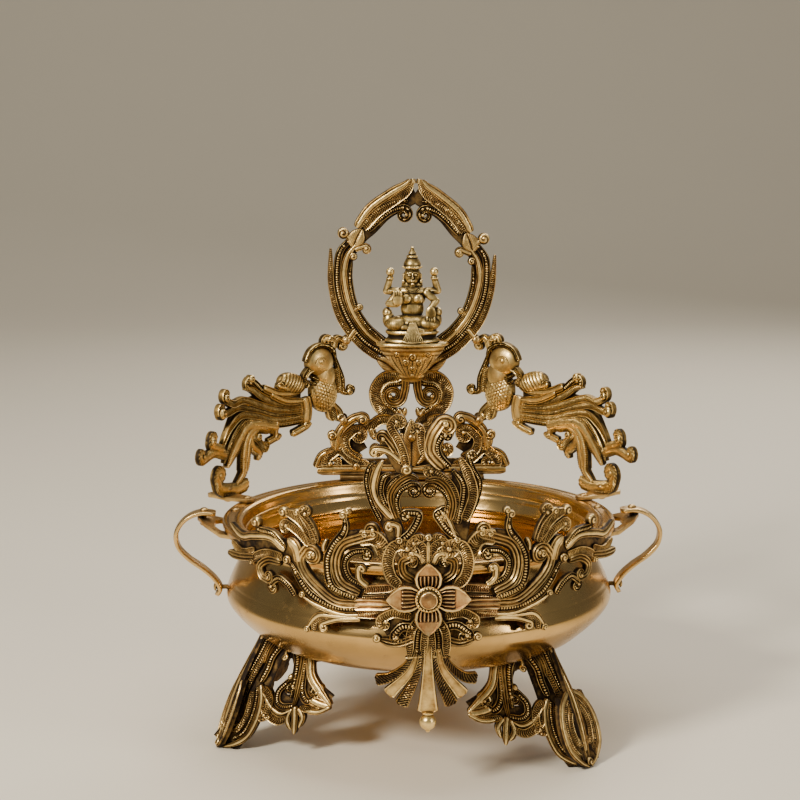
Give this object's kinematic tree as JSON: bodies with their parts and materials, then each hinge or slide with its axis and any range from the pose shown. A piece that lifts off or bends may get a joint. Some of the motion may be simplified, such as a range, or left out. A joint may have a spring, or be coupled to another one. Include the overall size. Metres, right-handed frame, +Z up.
{
  "type": "ornamental urli bowl",
  "caption": "Wide brass water bowl on three openwork legs, with side handles, flower and scrolled wings in front, and a crest with two peacocks round a seated figure",
  "frame": {"origin": "middle of the object's bounding box on the plane the feet stand on", "axes": "+X to the right seen from the front, +Y towards the back piece, +Z up"},
  "size_m": [0.3796, 0.3466, 0.417],
  "materials": {
    "bowl_brass": "polished, hand-burnished, golden inside, warm brown reflections",
    "figure_brass": "bright cast brass, worn bright on the high parts",
    "peacock_brass": "bright cast brass with dark hollows",
    "fastener_brass": "dull turned brass",
    "bracket_brass": "dark tarnished brass bar",
    "flower_brass": "cast brass, reddish in the hollows",
    "leg_brass": "cast and filed brass, dark in the openings",
    "handle_brass": "flat brass strap, filed",
    "ornament_brass": "antique cast brass, dark in the crevices and bright on the ridges"
  },
  "bodies": {
    "root": {"bowl": "bowl_brass", "leg_right": "leg_brass", "leg_bolt_right": "fastener_brass", "leg_nut_right": "fastener_brass", "leg_left": "leg_brass", "leg_bolt_left": "fastener_brass", "leg_nut_left": "fastener_brass", "leg_back": "leg_brass", "leg_bolt_back": "fastener_brass", "leg_nut_back": "fastener_brass", "handle_strap_left": "handle_brass", "handle_foot_rivet_left": "fastener_brass", "handle_yoke_left": "handle_brass", "yoke_rivet_front_left": "fastener_brass", "yoke_rivet_back_left": "fastener_brass", "strap_rivet_left": "fastener_brass", "peacock_left": "peacock_brass", "crest_rivet_left": "fastener_brass", "peacock_foot_bolt_left": "fastener_brass", "peacock_tail_bolt_left": "fastener_brass", "rim_lug_left": "handle_brass", "lug_rivet_left": "fastener_brass", "wing_left": "ornament_brass", "wing_screw_left": "fastener_brass", "wing_stay_left": "fastener_brass", "handle_strap_right": "handle_brass", "handle_foot_rivet_right": "fastener_brass", "handle_yoke_right": "handle_brass", "yoke_rivet_front_right": "fastener_brass", "yoke_rivet_back_right": "fastener_brass", "strap_rivet_right": "fastener_brass", "peacock_right": "peacock_brass", "crest_rivet_right": "fastener_brass", "peacock_foot_bolt_right": "fastener_brass", "peacock_tail_bolt_right": "fastener_brass", "rim_lug_right": "handle_brass", "lug_rivet_right": "fastener_brass", "wing_right": "ornament_brass", "wing_screw_right": "fastener_brass", "wing_stay_right": "fastener_brass", "arch_base": "bracket_brass", "back_arch": "ornament_brass", "arch_base_bolt_1": "fastener_brass", "arch_base_bolt_2": "fastener_brass", "arch_bolt_1": "fastener_brass", "arch_bolt_2": "fastener_brass", "stem_bolt": "fastener_brass", "oval_frame": "ornament_brass", "seat_plate": "ornament_brass", "seat_screw": "fastener_brass", "seated_figure": "figure_brass", "front_bracket": "bracket_brass", "bracket_rivet": "fastener_brass", "centre_plate": "ornament_brass", "flower_petals": "flower_brass", "flower_collar": "flower_brass", "flower_screw": "fastener_brass", "flower_nut": "fastener_brass", "ball_finial": "flower_brass"}
  },
  "joints": []
}
